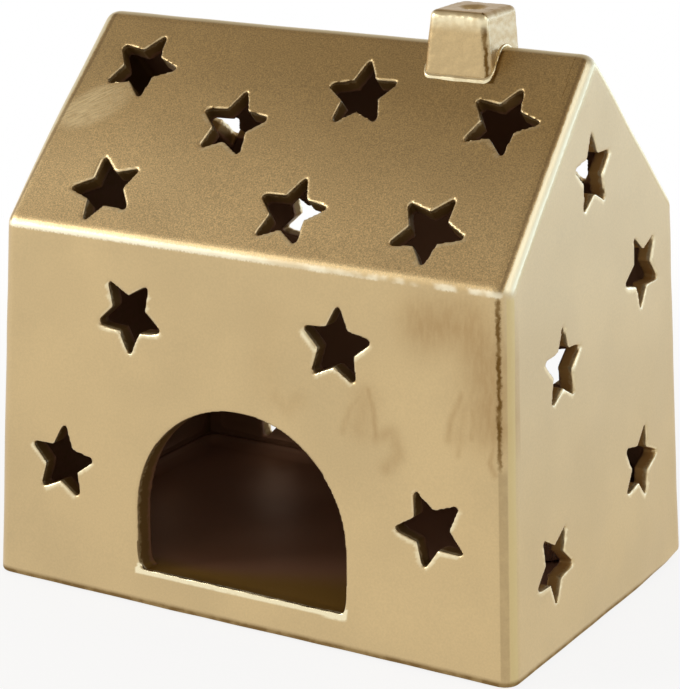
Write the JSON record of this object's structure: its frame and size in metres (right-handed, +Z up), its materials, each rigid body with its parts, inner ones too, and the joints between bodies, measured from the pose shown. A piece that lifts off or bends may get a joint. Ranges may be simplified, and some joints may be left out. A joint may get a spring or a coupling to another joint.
{
  "type": "tealight house",
  "caption": "Gold painted ceramic house with a gabled roof, a chimney, an arched mouth and star cut-outs, which shelters a burning tealight and lets its light out.",
  "frame": {"origin": "middle of the base, on the surface that the house stands on", "axes": "+Z up; -Y out of the front wall with the arch; +X towards the gable on the right of that wall, along the ridge"},
  "size_m": [0.1479, 0.0973, 0.1465],
  "materials": {
    "gold_painted_clay": "satin metallic gold paint over fired red-brown clay",
    "pressed_aluminium": "bright pressed foil",
    "candle_wax": "smooth, slightly translucent",
    "tinned_steel": "dull tin plate",
    "wick_cotton": "braided, waxed"
  },
  "bodies": {
    "house": {"floor_slab": "gold_painted_clay", "front_wall": "gold_painted_clay", "back_wall": "gold_painted_clay", "left_gable_wall": "gold_painted_clay", "right_gable_wall": "gold_painted_clay", "front_roof_slab": "gold_painted_clay", "rear_roof_slab": "gold_painted_clay", "chimney": "gold_painted_clay", "chimney_slip_bead": "gold_painted_clay"},
    "tealight": {"tealight_cup": "pressed_aluminium", "tealight_wax": "candle_wax", "wick_sustainer": "tinned_steel", "tealight_wick": "wick_cotton"}
  },
  "joints": [
    {"name": "tealight_slide", "type": "slide", "parent": "house", "child": "tealight", "axis": [-0.5684, -0.8227, 0], "range_m": [0, 0.12]}
  ]
}
